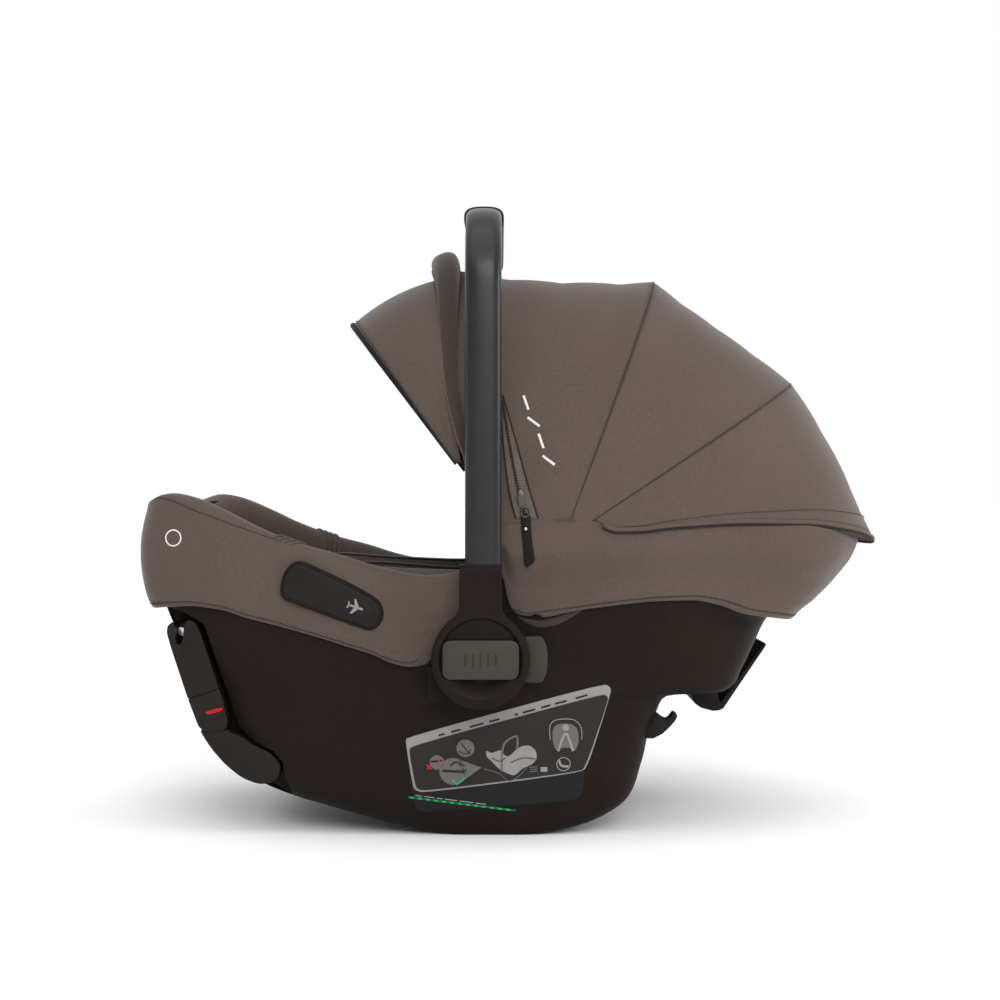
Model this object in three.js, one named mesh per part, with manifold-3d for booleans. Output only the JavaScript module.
// Infant car seat: rocker shell with bucket seat, harness, turning carry handle, folding canopy and
// swing-out anchor arms. Millimetres, +Z up, +X towards the child's head, child's left on -Y.
// Origin: on the floor, on the centre plane, under the handle's pivot.
import * as THREE from "three";
import { mergeVertices } from "three/addons/utils/BufferGeometryUtils.js";
import Module from "manifold-3d";

const wasm = await Module();
wasm.setup();

// ---- driving dimensions ----
const GAP = 0.3; // running gap between touching pieces
const SHELL_WALL = 5;
const FOAM = [5.3, 17]; // inset of the foam liner's outer and inner side from the hull
const LINING = [17.3, 25];
const INSERT = [25.3, 44];
const SKIRT = [-5.5, -0.5]; // cover fabric outside the hull
const HUB = { x: 0, z: 160, r: 41.7, inner: 197.6, outer: 220 };
const LEG = { width: 31.5, inner: 200.3, outer: 218.3 };
const SHOULDER = 551; // height of the carry handle's upper face where its corners end
const GRIP = { width: 40, half: 160, corner: 62, slope: 8 }; // slope in degrees, where the crowned top leaves a corner
const CANOPY = { x: 70, z: 260, half: 195.5, start: 17, thick: 2.4 };
const BOWS = { rear: 33.4, mid: 69.5, front: 110 }; // degrees above the head end
const ISOFIX = { x: -190, z: 58, inner: 126.5, outer: 153.5 };
const VISOR = { x: -16, z: 318, from: 101, to: 126.3 };

// Side profile of the hull: height, foot-end X, head-end X, half width.
const HULL = [
  [0, -46, 58, 148], [3, -68, 78, 149], [8, -94, 99, 150.5], [16, -125, 117, 152.5],
  [24, -156, 129, 154.5], [31, -181, 135, 156], [42, -209, 140, 158], [53, -224, 143, 160],
  [67, -235, 147, 162], [88, -246, 151, 165], [105, -252, 158, 168], [116, -255.5, 163, 169.3],
  [121, -257, 170, 170], [124.5, -258, 190, 170.3], [125.5, -258.5, 220.5, 170.5], [143, -264, 235, 173], [165, -271, 248, 175], [189, -281, 264, 177.5],
  [205, -287, 292, 179], [225, -291, 320, 180], [245, -294, 338, 181], [265, -296, 346, 181.5],
  [310, -297.5, 349, 182],
];
const FOOT_TAPER = { share: 0.88, from: -300, to: -90 }; // the foot end is narrower
// Height and superellipse power of the plan outline at each end.
const FOOT_POWER = [[0, 5.2], [120, 5.2], [185, 8.5], [310, 8.5]];
const HEAD_POWER = [[0, 7.5], [126, 7.5], [190, 4.2], [225, 3.6], [310, 3.6]];

// Upper side of the seat pan, foot to head.
const SEAT_LINE = [
  [-310, 240], [-255, 200], [-190, 158], [-110, 112], [-40, 84], [15, 72], [65, 78], [115, 104],
  [180, 148], [250, 199], [310, 238], [370, 268],
];
// Top edge of the cover, foot to head.
const RIM_LINE = [
  [-320, 287], [-297, 292], [-290, 296], [-279, 300], [-266, 298], [-235, 286], [-205, 272], [-165, 257], [-127, 247],
  [-90, 236], [-52, 229], [-22, 233], [4, 255], [24, 273], [60, 276], [180, 276], [270, 274],
  [320, 264], [370, 256],
];
const FRONT_HEM = [
  [-320, 215], [-286, 203], [-262, 201], [-245, 204], [-210, 200.6], [-158, 186], [-114, 173],
  [-76, 155.5], [-58, 152], [-50, 155],
];
const REAR_HEM = [
  [26, 201], [37, 194], [68, 199], [114, 208], [171, 211], [205, 209], [231, 200], [252, 191],
  [271, 190], [300, 201], [327, 221], [372, 262],
];
// Crown radius of the canopy about its pivot, by angle above the head end.
const CROWN = [
  [-1.5, 303], [3, 291], [7, 287], [20, 275], [BOWS.rear, 270], [53, 252], [BOWS.mid, 259],
  [76, 248], [89, 242], [101, 250], [BOWS.front, 268], [118, 280],
];

// ---- geometry helpers ----
const rad = THREE.MathUtils.degToRad;
const pt = (x, y) => new THREE.Vector2(x, y);

// Linear value of a table of [key, value, ...] rows at a key.
function at(rows, key, column = 1) {
  const i = Math.min(Math.max(rows.findIndex((r) => r[0] >= key), 1), rows.length - 1);
  const [a, b] = [rows[i < 0 ? rows.length - 1 : i - 1], rows[i]];
  const f = THREE.MathUtils.clamp((key - a[0]) / (b[0] - a[0]), 0, 1);
  return a[column] + (b[column] - a[column]) * f;
}

// A closed three.js geometry as a solid that can be joined and cut.
function solid(geometry) {
  const g = geometry.clone();
  g.deleteAttribute("normal");
  g.deleteAttribute("uv");
  const merged = mergeVertices(g, 1e-4);
  return new wasm.Manifold(
    new wasm.Mesh({
      numProp: 3,
      vertProperties: new Float32Array(merged.attributes.position.array),
      triVerts: new Uint32Array(merged.index.array),
    }),
  );
}

function geometryOf(body) {
  const mesh = body.getMesh();
  const g = new THREE.BufferGeometry();
  const stride = mesh.numProp;
  const xyz = new Float32Array(mesh.numVert * 3);
  for (let i = 0; i < mesh.numVert; i++) {
    xyz.set(mesh.vertProperties.subarray(i * stride, i * stride + 3), i * 3);
  }
  g.setAttribute("position", new THREE.BufferAttribute(xyz, 3));
  g.setIndex(new THREE.BufferAttribute(new Uint32Array(mesh.triVerts), 1));
  g.computeVertexNormals();
  return g;
}

// Outline in the X-Z plane, extruded along Y from y0 to y1.
function prism(points, y0, y1, bevel = 0) {
  const shape = points instanceof THREE.Shape ? points : new THREE.Shape(points.map((p) => pt(...p)));
  const g = new THREE.ExtrudeGeometry(shape, {
    depth: y1 - y0 - 2 * bevel,
    bevelEnabled: bevel > 0,
    bevelThickness: bevel,
    bevelSize: bevel,
    bevelOffset: -bevel,
    bevelSegments: 1,
    curveSegments: 4,
  });
  return solid(g.rotateX(Math.PI / 2).translate(0, y1 - bevel, 0));
}

// The same outline on the left side (-Y), between two distances from the centre plane.
const sidePrism = (points, inner, outer, bevel = 0) => prism(points, -outer, -inner, bevel);

// Outline in plan (X-Y), extruded along Z.
function column(points, z0, z1) {
  const shape = new THREE.Shape(points.map((p) => pt(...p)));
  const g = new THREE.ExtrudeGeometry(shape, { depth: z1 - z0, bevelEnabled: false });
  return solid(g.translate(0, 0, z0));
}

function box(x0, x1, y0, y1, z0, z1) {
  const g = new THREE.BoxGeometry(x1 - x0, y1 - y0, z1 - z0);
  return solid(g.translate((x0 + x1) / 2, (y0 + y1) / 2, (z0 + z1) / 2));
}

// Cylinder along Y.
function roundBar(x, z, radius, y0, y1, sides = 32) {
  const g = new THREE.CylinderGeometry(radius, radius, y1 - y0, sides);
  return solid(g.translate(x, 0, 0).translate(0, (y0 + y1) / 2, z));
}

// Closed body through a row of rings with equal point counts, capped flat at both ends.
function loft(rings) {
  const count = rings[0].length;
  const points = rings.flat();
  const index = [];
  for (let r = 0; r + 1 < rings.length; r++) {
    for (let i = 0; i < count; i++) {
      const [a, b] = [r * count + i, r * count + ((i + 1) % count)];
      index.push(a, b, b + count, a, b + count, a + count);
    }
  }
  const last = (rings.length - 1) * count;
  for (let i = 1; i + 1 < count; i++) {
    index.push(0, i + 1, i, last, last + i, last + i + 1);
  }
  const g = new THREE.BufferGeometry().setFromPoints(points);
  g.setIndex(index);
  const body = solid(g);
  return body.volume() < 0 ? solid(flipped(g)) : body;
}

function flipped(geometry) {
  const i = geometry.index.array;
  for (let k = 0; k < i.length; k += 3) [i[k + 1], i[k + 2]] = [i[k + 2], i[k + 1]];
  return geometry;
}

// Smooth line of [x, z] points through a few given ones.
function smooth(rows, steps) {
  const line = new THREE.CatmullRomCurve3(rows.map(([x, z]) => new THREE.Vector3(x, 0, z)), false, "centripetal");
  return line.getPoints(steps).map((p) => [p.x, p.z]);
}

const raised = (line, dz) => line.map(([x, z]) => [x, z + dz]);
const mirrored = (body) => body.mirror([0, 1, 0]);
const join = (...bodies) => bodies.reduce((a, b) => a.add(b));

// ---- hull and seat layers ----
// Plan outline of the hull at one height, moved inwards by inset.
function hullRing(z, inset, around) {
  const look = z < 60 ? Math.max(z - Math.max(inset, 0), 0) : z;
  const [foot, head, half] = [1, 2, 3].map((c) => at(HULL, look, c));
  const [mid, reach] = [(foot + head) / 2, (head - foot) / 2 - inset];
  const ring = [];
  for (let i = 0; i < around; i++) {
    const a = (2 * Math.PI * (i + 0.5)) / around;
    const [c, s] = [Math.cos(a), Math.sin(a)];
    const power = at(c < 0 ? FOOT_POWER : HEAD_POWER, z);
    const x = mid + reach * Math.sign(c) * Math.abs(c) ** (2 / power);
    const { share, from, to } = FOOT_TAPER;
    const taper = share + (1 - share) * THREE.MathUtils.smoothstep(x, from, to);
    const y = (half * taper - inset) * Math.sign(s) * Math.abs(s) ** (2 / power);
    ring.push(new THREE.Vector3(x, y, z));
  }
  return ring;
}

const BODY_LEVELS = [0, 3, 8, 16, 31, 53, 88, 116, 121, 124.5, 125.5, 143, 189, 225, 265, 310];
const UPPER_LEVELS = BODY_LEVELS.filter((z) => z > 50);
const INNER_LEVELS = [SHELL_WALL, ...BODY_LEVELS.filter((z) => z > 7)];

function hull(inset, levels = UPPER_LEVELS, around = 28) {
  return loft(levels.map((z) => hullRing(z, inset, around)));
}

const SEAT = smooth(SEAT_LINE, 15);
const RIM = smooth(RIM_LINE, 22);

// Slab between the seat line raised by d0 and by d1.
function seatLayer(d0, d1, half = 200) {
  return prism([...raised(SEAT, d0), ...raised(SEAT, d1).reverse()], -half, half);
}

// Everything above a line.
const above = (line, dz, top = 480) =>
  prism([...raised(line, dz), [line.at(-1)[0], top], [line[0][0], top]], -230, 230);

// Bowl-shaped layer: a pan on the seat line and side walls between two insets, up to the rim.
function bowl([outer, inner], pan0, pan1, rimDrop) {
  const block = hull(outer);
  const hollow = hull(inner).intersect(above(SEAT, pan1));
  return block.subtract(hollow).intersect(above(SEAT, pan0)).subtract(above(RIM, -rimDrop));
}

// ---- base and shell ----
const ARM_BAY = [
  [-300, 205], [-262, 196], [-238, 182], [-216, 130], [-207, 92], [-190, 80], [-166, 66],
  [-168, 30], [-200, 22], [-300, 40],
];
const BAY = { floor: 117, wall: 122 };
const COVER = { x0: -40, x1: 50, half: 100, thick: 4 };

function outerShell() {
  const outside = hull(0, BODY_LEVELS);
  const inside = hull(SHELL_WALL, INNER_LEVELS);
  const pan = seatLayer(-SHELL_WALL, 0).intersect(outside);
  let shell = outside.subtract(inside).add(pan);
  for (const side of [-1, 1]) {
    const [bay, floor] = [[BAY.wall, 220], [BAY.floor, BAY.wall]].map(([a, b]) =>
      side < 0 ? prism(ARM_BAY, -b, -a) : prism(ARM_BAY, a, b));
    shell = shell.subtract(bay).add(floor.intersect(outside).subtract(above(SEAT, -2)));
    shell = shell.subtract(roundBar(ISOFIX.x, ISOFIX.z, 7, side * 104 - 24, side * 104 + 24, 12));
    shell = shell.subtract(roundBar(CANOPY.x, CANOPY.z, 5.4, side * 178 - 12, side * 178 + 12, 16));
  }
  const coverHole = box(COVER.x0, COVER.x1, -COVER.half, COVER.half, -1, SHELL_WALL + 2);
  const rearMouth = box(171, 213, -140, 140, 112, 132);
  return shell.subtract(coverHole).subtract(rearMouth).subtract(above(RIM, -6))
    .subtract(hull(-20).intersect(above(RIM, -6)));
}

function bottomCover() {
  const { x0, x1, half, thick } = COVER;
  const plate = box(x0 + GAP, x1 - GAP, -half + GAP, half - GAP, 0, thick);
  const ribs = [-60, 0, 60].map((y) => box(x0 + 4, x1 - 4, y - 1.5, y + 1.5, thick - 1, thick + 12));
  return join(plate, ...ribs);
}

const foamLiner = () => bowl(FOAM, GAP, 12, 6.3);
const seatLining = () => bowl(LINING, 12.3, 20, 1);

// Cover fabric outside the shell, with a lip over its rim, cut to a side outline.
function skirt(outline) {
  const wall = hull(SKIRT[0]).subtract(hull(SKIRT[1]));
  const lip = hull(SKIRT[0]).subtract(hull(LINING[0] - GAP)).intersect(above(RIM, -5.7));
  return wall.add(lip).subtract(above(RIM, 0)).intersect(prism(outline, -230, 230));
}

function frontSkirt() {
  return skirt([...FRONT_HEM, [-36.5, 175], [-45, 229], [-45, 330], [-330, 330], [-330, 215]]);
}

function rearSkirt() {
  const cloth = skirt([[19.5, 330], [19.5, 215], ...REAR_HEM, [390, 262], [390, 330]]);
  return [-1, 1].reduce(
    (body, side) => body.subtract(roundBar(CANOPY.x, CANOPY.z, 6, side * 185 - 12, side * 185 + 12, 16)),
    cloth,
  );
}

// ---- padding and harness ----
const LINER_FACE = 20; // height of the lining's face above the pan
const PADDING = 41; // height of the insert's face above the pan
const plan = (points) => column(points, 0, 400);
const strip = (x0, y0, x1, y1, width) => {
  const along = new THREE.Vector2(x1 - x0, y1 - y0).normalize().multiplyScalar(width / 2);
  return plan([
    [x0 + along.y, y0 - along.x], [x1 + along.y, y1 - along.x],
    [x1 - along.y, y1 + along.x], [x0 - along.y, y0 + along.x],
  ]);
};

function infantInsert() {
  const walls = bowl(INSERT, 20.3, PADDING, 24).subtract(above(SEAT, 96));
  return walls.intersect(plan([[-120, -170], [236, -170], [236, 170], [-120, 170]]));
}

function headSupport() {
  const block = hull(INSERT[1] + GAP).intersect(seatLayer(PADDING + GAP, 92));
  const hollow = hull(74).intersect(above(SEAT, PADDING + 13));
  return block.subtract(hollow).intersect(plan([[128, -170], [225, -170], [225, 170], [128, 170]]));
}

const STRAP = { face: PADDING + 14, thick: 2 };
const shoulderStrap = () =>
  seatLayer(STRAP.face, STRAP.face + STRAP.thick).intersect(strip(206, -46, 26, -30, 26));
const shoulderPad = () =>
  seatLayer(STRAP.face + STRAP.thick + GAP, STRAP.face + 12).intersect(strip(186, -46, 84, -37, 46));
const crotchStrap = () =>
  seatLayer(STRAP.face, STRAP.face + STRAP.thick).intersect(strip(-70, 0, -16, 0, 26));
const crotchPad = () =>
  seatLayer(PADDING + GAP, STRAP.face - GAP).intersect(strip(-86, 0, 24, 0, 58));
const BUCKLE = { x0: -15.5, x1: 25, half: 27 };

function buckleBody() {
  const { x0, x1, half } = BUCKLE;
  const body = box(x0, x1, -half, half, 138, 160);
  const mouths = box(x1 - 14, x1 + 1, -half + 4, half - 4, 145, 151);
  const well = box(x0 + 7, x1 - 13, -12, 12, 152, 161);
  return body.subtract(mouths).subtract(well);
}

const buckleButton = () => box(BUCKLE.x0 + 7.4, BUCKLE.x1 - 13.4, -11.6, 11.6, 156.4, 162);
const buckleTongue = () =>
  box(BUCKLE.x1 - 13.6, BUCKLE.x1 + 16, -BUCKLE.half + 4.4, -3, 146, 148.5)
    .subtract(box(BUCKLE.x1 + 4, BUCKLE.x1 + 11, -19, -7, 140, 150));

function adjusterHousing() {
  return seatLayer(LINER_FACE + GAP, LINER_FACE + 9).intersect(strip(-152, 0, -130, 0, 44))
    .subtract(column([[-147, -14], [-136, -14], [-136, 14], [-147, 14]], 0, 400));
}

const adjusterButton = () =>
  seatLayer(LINER_FACE + 3, LINER_FACE + 11).intersect(strip(-146.6, 0, -136.4, 0, 27));
const adjusterStrap = () =>
  seatLayer(LINER_FACE + GAP, LINER_FACE + 2).intersect(strip(-240, 0, -152.5, 0, 25));

// ---- plates, hooks and belt guides on the outside ----
const GUIDE_PLATE = [
  [-172, 219], [-169, 231], [-157, 239], [-98, 211], [-87, 205], [-86, 192], [-98, 185], [-164, 209],
];

function lapBeltGuide() {
  const plate = sidePrism(GUIDE_PLATE, 120, 230).intersect(hull(-10).subtract(hull(-6.9)));
  return plate.subtract(
    sidePrism([[-150, 209], [-106, 191], [-104, 196], [-148, 214]], 120, 230).intersect(hull(-11).subtract(hull(-8.3))),
  );
}

function shoulderBeltGuide() {
  const side = [
    [196, 124.3], [196, 110], [198, 105], [203, 101.5], [214, 98.5], [220, 99], [224, 101], [264, 160],
    [261.5, 163], [221, 106.5], [219, 112], [219, 124.3],
  ];
  return prism(side, -62, 62);
}

function rearHook() {
  const side = [
    [112, 104], [112, 90], [140, 82], [153, 82], [161, 86], [167, 91.5], [172, 97], [174.5, 101.5],
    [173.5, 104.5], [171, 105.3], [169.2, 103], [167.5, 100.5], [164.5, 99], [160.5, 101], [157, 104],
  ];
  return sidePrism(side, 112, 128).subtract(hull(-GAP, BODY_LEVELS));
}

// ---- handle ----
function hubMount() {
  const boss = roundBar(HUB.x, HUB.z, 37, -197, -150, 28);
  const socket = box(-45, -22, -197, -150, 122, 152);
  const guide = box(20, 34, -197, -150, 138, 180);
  return join(boss, socket, guide)
    .subtract(roundBar(HUB.x, HUB.z, 21.3, -198, -184, 20))
    .subtract(box(-41, -33, -194, -184, 121, 141))
    .subtract(box(27, 38, -193.5, -188.5, 149, 169))
    .subtract(hull(-2 * GAP, BODY_LEVELS.filter((z) => z > 40)));
}

const buttonShape = (grow) => {
  const [w, h, r] = [32 + grow, 16.3 + grow, 7];
  const s = new THREE.Shape();
  s.moveTo(-w + r, HUB.z - h);
  s.quadraticCurveTo(0, HUB.z - h - 1, w - r, HUB.z - h);
  s.quadraticCurveTo(w, HUB.z - h, w, HUB.z - h + r);
  s.lineTo(w, HUB.z + h - r);
  s.quadraticCurveTo(w, HUB.z + h, w - r, HUB.z + h);
  s.quadraticCurveTo(0, HUB.z + h + 1, -w + r, HUB.z + h);
  s.quadraticCurveTo(-w, HUB.z + h, -w, HUB.z + h - r);
  s.lineTo(-w, HUB.z - h + r);
  s.quadraticCurveTo(-w, HUB.z - h, -w + r, HUB.z - h);
  return s;
};

function handleHub() {
  const disc = roundBar(HUB.x, HUB.z, HUB.r, -217.5, -HUB.inner, 32);
  const face = roundBar(HUB.x, HUB.z, HUB.r - 3, -HUB.outer, -217, 32);
  const collar = sidePrism([[-18, 186], [-26, 192], [-18, 240], [18, 240], [26, 192], [18, 186]], 198.5, 219.5);
  const core = sidePrism([[-17, 203], [17, 203], [17, 241], [-17, 241]], LEG.inner - GAP, LEG.outer + GAP);
  return join(disc, face, collar)
    .subtract(core)
    .subtract(sidePrism(buttonShape(0.4), 201.8, 221))
    .subtract(roundBar(HUB.x, HUB.z, 21.3, -202, -197, 20))
    .subtract(sidePrism([[-24, 143], [24, 143], [19, 128], [-19, 128]], 214, 221));
}

const handleButton = () =>
  sidePrism(buttonShape(0), 207.2, 219.6, 1).add(roundBar(HUB.x, HUB.z, 6, -208, -201.3, 16));

function lockGear() {
  const teeth = 12;
  const outline = [];
  for (let i = 0; i < teeth * 4; i++) {
    const a = (2 * Math.PI * i) / (teeth * 4);
    const r = i % 4 < 2 ? 20.5 : 17;
    outline.push([r * Math.cos(a), HUB.z + r * Math.sin(a)]);
  }
  return sidePrism(outline, 190, 201);
}

// The handle's centre line runs up one leg, over the slightly crowned top and down the other, in the Y-Z plane.
function handlePath(depth, z0, steps = 7) {
  const side = LEG.inner + (LEG.outer - LEG.inner) / 2;
  const r = GRIP.corner;
  const low = SHOULDER - depth / 2 - r;
  const path = [[-side, z0, 0]];
  for (let i = 0; i <= steps; i++) {
    const a = rad(90 - GRIP.slope) * (i / steps);
    path.push([-side + r - r * Math.cos(a), low + r * Math.sin(a), a]);
  }
  const [end, high] = path[path.length - 1];
  const steep = Math.tan(rad(GRIP.slope));
  for (const f of [0.75, 0.5, 0.25, 0]) {
    path.push([end * f, high - (end * steep * (1 - f * f)) / 2, Math.PI / 2 - Math.atan(steep * f)]);
  }
  return [...path, ...path.slice(0, -1).map(([y, z, a]) => [-y, z, Math.PI - a]).reverse()];
}

// Rounded-rectangle section along a path of [y, z, turn].
function sweep(path, width, depth, corner = 5) {
  return loft(path.map(([y, z, turn]) => {
    const ring = [];
    for (const [sx, sn] of [[1, 1], [-1, 1], [-1, -1], [1, -1]]) {
      for (const k of sx * sn > 0 ? [0, 1] : [1, 0]) {
        const u = sx * (width / 2 - corner + corner * Math.cos((Math.PI / 2) * k));
        const v = sn * (depth / 2 - corner + corner * Math.sin((Math.PI / 2) * k));
        ring.push(new THREE.Vector3(u, y - v * Math.cos(turn), z + v * Math.sin(turn)));
      }
    }
    return ring;
  }));
}

const handleBar = () => sweep(handlePath(18, 203.3), LEG.width, 17.4);

function handleGrip() {
  const path = handlePath(18, 203.3).filter(([, z]) => z > SHOULDER - 40);
  return sweep(path, GRIP.width, 24, 7).subtract(sweep(path, LEG.width + 2 * GAP, 18, 5))
    .subtract(box(-60, 60, -300, -GRIP.half, 400, 620))
    .subtract(box(-60, 60, GRIP.half, 300, 400, 620));
}

const releaseSlider = () =>
  sidePrism([[43.5, 139], [52, 142], [56, 150], [56, 168], [52, 176], [43.5, 179]], 185, 197, 1.5)
    .add(box(34.5, 46, -193, -189, 150, 168));

// ---- anchor arms ----
const ARM = [
  [-246.5, 90.5], [-238, 77], [-225, 62], [-210.5, 50.5], [-196, 45], [-186, 45.5], [-179, 50],
  [-176.5, 58], [-178, 65], [-186, 72.6], [-202, 80], [-210.5, 87], [-221.5, 90.5],
];
const CONNECTOR = [
  [-247, 91.3], [-257, 120], [-276, 176], [-272, 187], [-259, 190], [-250, 184], [-230, 129],
  [-222, 91.3],
];
const JAW = [[-270, 200], [-269.5, 166], [-265, 161], [-261, 166], [-261.5, 200]];

// A point of the connector: u along it from its root, v across it towards the head end.
const onConnector = ([u, v]) => [-234.5 - 0.268 * u + 0.963 * v, 91 + 0.963 * u + 0.268 * v];
const connectorPrism = (points, inner, outer, bevel) =>
  sidePrism(points.map(onConnector), inner, outer, bevel);

const isofixArm = () =>
  sidePrism(ARM, ISOFIX.inner + 1.5, ISOFIX.outer - 1.5, 1.5)
    .subtract(roundBar(ISOFIX.x, ISOFIX.z, 6.4, -153, -125, 16));

function isofixConnector() {
  return sidePrism(CONNECTOR, ISOFIX.inner, ISOFIX.outer, 1.5)
    .subtract(sidePrism(JAW, 120, 160))
    .subtract(connectorPrism([[52, -7], [110, -10], [110, 24], [52, 24]], 136, 144))
    .subtract(connectorPrism([[20, -8], [58, -8], [58, 8], [20, 8]], 149.5, 160));
}

const isofixHook = () =>
  connectorPrism([[56, -4], [56, 6], [74, 7], [92, 3], [97, -6], [96, -9.2], [91, -9.2], [88, -6], [76, -3]], 136.4, 143.6);
const isofixRelease = () =>
  connectorPrism([[32, -7.4], [56, -7.4], [56, 7.4], [32, 7.4]], 149.8, 155.5, 0.8);
const isofixShaft = () => roundBar(ISOFIX.x, ISOFIX.z, 6, -151, 151, 20);

// ---- canopy ----
// One arch of the canopy: from the left pivot over the crown to the right pivot. lean bows it forwards.
function arch(pivot, angle, radius, half, lean, steps, start, power = 2.9) {
  const points = [];
  for (let i = 0; i <= steps; i++) {
    const t = (Math.PI * i) / steps;
    const reach = Math.abs(Math.sin(t)) ** (2 / power) * (radius - start) + start;
    const polar = rad(angle + lean * (1 - reach / radius) ** 1.4);
    const across = -half * Math.sign(Math.cos(t)) * Math.abs(Math.cos(t)) ** (2 / power);
    points.push(new THREE.Vector3(
      pivot.x + reach * Math.cos(polar), across, pivot.z + reach * Math.sin(polar)));
  }
  return points;
}

const lean = (angle) => 52 * THREE.MathUtils.smoothstep(angle, BOWS.mid, BOWS.front) ** 1.2;

function canopyArch(angle, inset, steps = 16, sideInset = inset) {
  const { half, start } = CANOPY;
  return arch(CANOPY, angle, at(CROWN, angle) - inset, half - sideInset, lean(angle), steps, start);
}

// Cloth between two arch angles, as one curved sheet of even thickness.
function canopyPanel(from, to, slices) {
  const sheet = (inset) => Array.from({ length: slices + 1 }, (_, i) =>
    canopyArch(from + ((to - from) * i) / slices, inset));
  return sheetBody(sheet(0), sheet(CANOPY.thick));
}

// Closed body between two grids of points: the rings run along the grid's first direction.
function sheetBody(outer, inner) {
  const columns = outer[0].length;
  return loft(Array.from({ length: columns }, (_, c) =>
    [...outer.map((row) => row[c]), ...inner.map((row) => row[c]).reverse()]));
}

// Flat rod along an arch, with an eye at each pivot. It is thinner down the sides, where the rods pass each other.
function bow(angle, inset, depth, width, eye, [side, sideDepth]) {
  const tilt = (p, turn) => p.clone().sub(new THREE.Vector3(CANOPY.x, 0, CANOPY.z))
    .applyAxisAngle(new THREE.Vector3(0, 1, 0), turn).add(new THREE.Vector3(CANOPY.x, 0, CANOPY.z));
  const turn = width / at(CROWN, angle) / 2;
  const [outer, inner] = [0, depth].map((d) => canopyArch(angle, inset + d, 18, side + (d && sideDepth)));
  const rod = sheetBody([outer.map((p) => tilt(p, -turn)), outer.map((p) => tilt(p, turn))],
    [inner.map((p) => tilt(p, -turn)), inner.map((p) => tilt(p, turn))]);
  const trimmed = rod.subtract(roundBar(CANOPY.x, CANOPY.z, 12, -230, 230, 16));
  const ends = [-1, 1].map((hand) => eyeLink(angle, hand, eye, [CANOPY.half - side - sideDepth, CANOPY.half - side]));
  return join(trimmed, ...ends).subtract(roundBar(CANOPY.x, CANOPY.z, 5.6, -230, 230, 12));
}

// Ring and short arm that join a rod to its pivot; from..to is the ring's distance from the centre.
function eyeLink(angle, side, [from, to], [rootFrom, rootTo]) {
  const polar = rad(angle + lean(angle) * 0.86);
  const [c, s] = [Math.cos(polar), Math.sin(polar)];
  const w = 5;
  const strap = [[-w * s, w * c], [w * s, -w * c], [w * s + 30 * c, -w * c + 30 * s], [-w * s + 30 * c, w * c + 30 * s]]
    .map(([x, z]) => [x + CANOPY.x, z + CANOPY.z]);
  const link = sidePrism(strap, from, to).add(roundBar(CANOPY.x, CANOPY.z, 11.5, -to, -from, 16));
  const root = sidePrism(strap.map(([x, z], i) => i < 2 ? [x + 18 * c, z + 18 * s] : [x, z]),
    Math.min(from, rootFrom), Math.max(to, rootTo));
  const body = link.add(root);
  return side < 0 ? body : mirrored(body);
}

const EYES = { rear: [187.2, 188.7], mid: [189, 190.5], front: [190.8, 192.6] };

function canopyMount() {
  return roundBar(CANOPY.x, CANOPY.z, 5, -193.5, -176.4, 16)
    .add(roundBar(CANOPY.x, CANOPY.z, 9, -195.6, -193, 20));
}

// Padded roll along the canopy's front edge, thickest at the crown.
function canopyCollar() {
  const steps = 20;
  const base = BOWS.front + 0.9;
  const rings = [];
  for (let i = 1; i < steps; i++) {
    const thick = 3 + 11 * Math.sin((Math.PI * i) / steps) ** 1.6;
    const corner = (angle, inset) =>
      arch(CANOPY, angle, 268 - inset, CANOPY.half - Math.max(inset, 0), lean(angle), steps, CANOPY.start)[i];
    const wide = 1.2 + 3.6 * Math.sin((Math.PI * i) / steps);
    rings.push([
      corner(base, 3), corner(base, -thick * 0.35), corner(base + wide * 0.4, -thick * 0.92),
      corner(base + wide, -thick * 0.75), corner(base + wide, 3),
    ]);
  }
  return loft(rings);
}

function eyeshade() {
  const slices = 4;
  const rows = (inset) => Array.from({ length: slices + 1 }, (_, i) => {
    const f = i / slices;
    const angle = VISOR.from + (VISOR.to - VISOR.from) * f;
    return arch(VISOR, angle, 190 - 8 * f - inset, 184 - inset, 0, 16, 26);
  });
  const collar = canopyCollar();
  return sheetBody(rows(0), rows(CANOPY.thick))
    .subtract(collar.add(collar.translate([-1, 0, 0])))
    .subtract(prism([[-20, 600], [40, 600], [40, 300], [-20, 300]], -230, 230));
}

const zipPull = () =>
  sidePrism([[33.5, 283], [41.5, 283], [42, 262], [46, 240], [37, 243], [33, 262]], 196.2, 198);

// ---- colours ----
const material = (color, roughness, metalness = 0) =>
  new THREE.MeshStandardMaterial({ color, roughness, metalness });
const LOOK = {
  shell: material(0x2b2521, 0.62), foam: material(0x3a3a3c, 0.9), frame: material(0x1d1b1b, 0.42),
  bar: material(0x4a4646, 0.4), grip: material(0x2c2826, 0.55), cloth: material(0x6a5d55, 0.93),
  lining: material(0x4a423c, 0.93), web: material(0x26231f, 0.85), accent: material(0x55524a, 0.5),
  steel: material(0x9a9a9c, 0.3, 1), red: material(0xa51420, 0.4), leather: material(0x1f1b19, 0.5),
};

// ---- assembly ----
const seat = new THREE.Group();

function add(name, body, look) {
  const mesh = new THREE.Mesh(geometryOf(body), LOOK[look]);
  mesh.name = name;
  seat.add(mesh);
}

function addPair(name, body, look) {
  add(name + "_left", body, look);
  add(name + "_right", mirrored(body), look);
}

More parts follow.
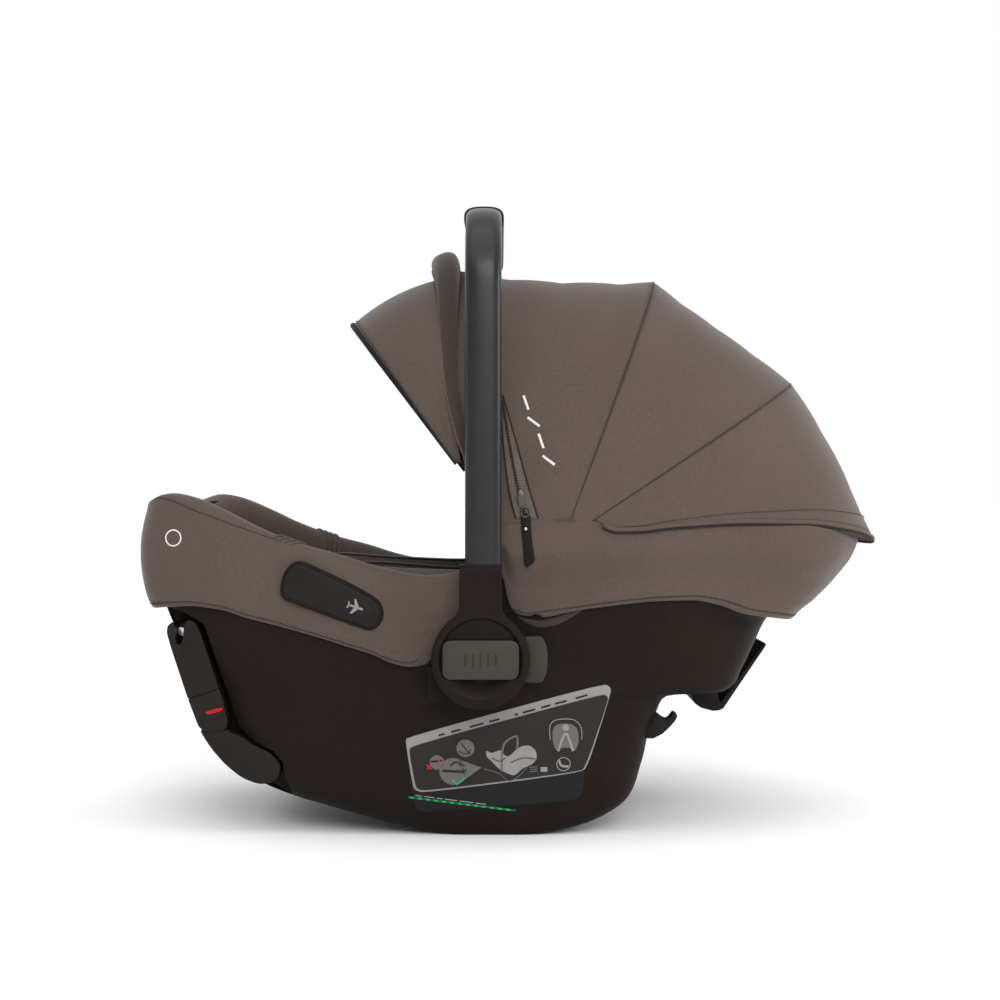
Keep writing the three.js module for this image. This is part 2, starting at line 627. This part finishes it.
add("outer_shell", outerShell(), "shell");
add("bottom_cover", bottomCover(), "shell");
add("foam_liner", foamLiner(), "foam");
add("seat_lining", seatLining(), "lining");
add("front_skirt", frontSkirt(), "cloth");
add("rear_skirt", rearSkirt(), "cloth");
add("infant_insert", infantInsert(), "cloth");
add("head_support", headSupport(), "cloth");
add("crotch_pad", crotchPad(), "cloth");
add("crotch_strap", crotchStrap(), "web");
add("buckle_body", buckleBody(), "frame");
add("buckle_button", buckleButton(), "red");
add("adjuster_housing", adjusterHousing(), "frame");
add("adjuster_button", adjusterButton(), "frame");
add("adjuster_strap", adjusterStrap(), "web");
add("shoulder_belt_guide", shoulderBeltGuide(), "frame");
addPair("shoulder_strap", shoulderStrap(), "web");
addPair("shoulder_pad", shoulderPad(), "cloth");
addPair("buckle_tongue", buckleTongue(), "steel");
addPair("lap_belt_guide", lapBeltGuide(), "frame");
addPair("rear_hook", rearHook(), "frame");
addPair("hub_mount", hubMount(), "frame");
addPair("canopy_mount", canopyMount(), "frame");

add("handle_bar", handleBar(), "bar");
add("handle_grip", handleGrip(), "grip");
addPair("handle_hub", handleHub(), "frame");
addPair("handle_button", handleButton(), "accent");
addPair("lock_gear", lockGear(), "frame");
addPair("release_slider", releaseSlider(), "accent");

add("isofix_cross_shaft", isofixShaft(), "steel");
addPair("isofix_arm", isofixArm(), "frame");
addPair("isofix_connector", isofixConnector(), "frame");
addPair("isofix_hook", isofixHook(), "steel");
addPair("isofix_release", isofixRelease(), "red");

add("canopy_rear_bow", bow(BOWS.rear, 5, 3, 8, EYES.rear, [6.8, 1.5]), "frame");
add("canopy_mid_bow", bow(BOWS.mid, 5, 3, 8, EYES.mid, [5, 1.5]), "frame");
add("canopy_front_bow", bow(BOWS.front - 1.5, 8, 3, 8, EYES.front, [4.8, 3]), "frame");
add("canopy_rear_panel", canopyPanel(-1.5, BOWS.rear - 0.15, 5), "cloth");
add("canopy_mid_panel", canopyPanel(BOWS.rear + 0.15, BOWS.mid - 0.15, 4), "cloth");
add("canopy_front_panel", canopyPanel(BOWS.mid + 0.15, BOWS.front, 5), "cloth");
add("canopy_collar", canopyCollar(), "cloth");
add("eyeshade", eyeshade(), "cloth");
addPair("zip_pull", zipPull(), "leather");

export default seat;
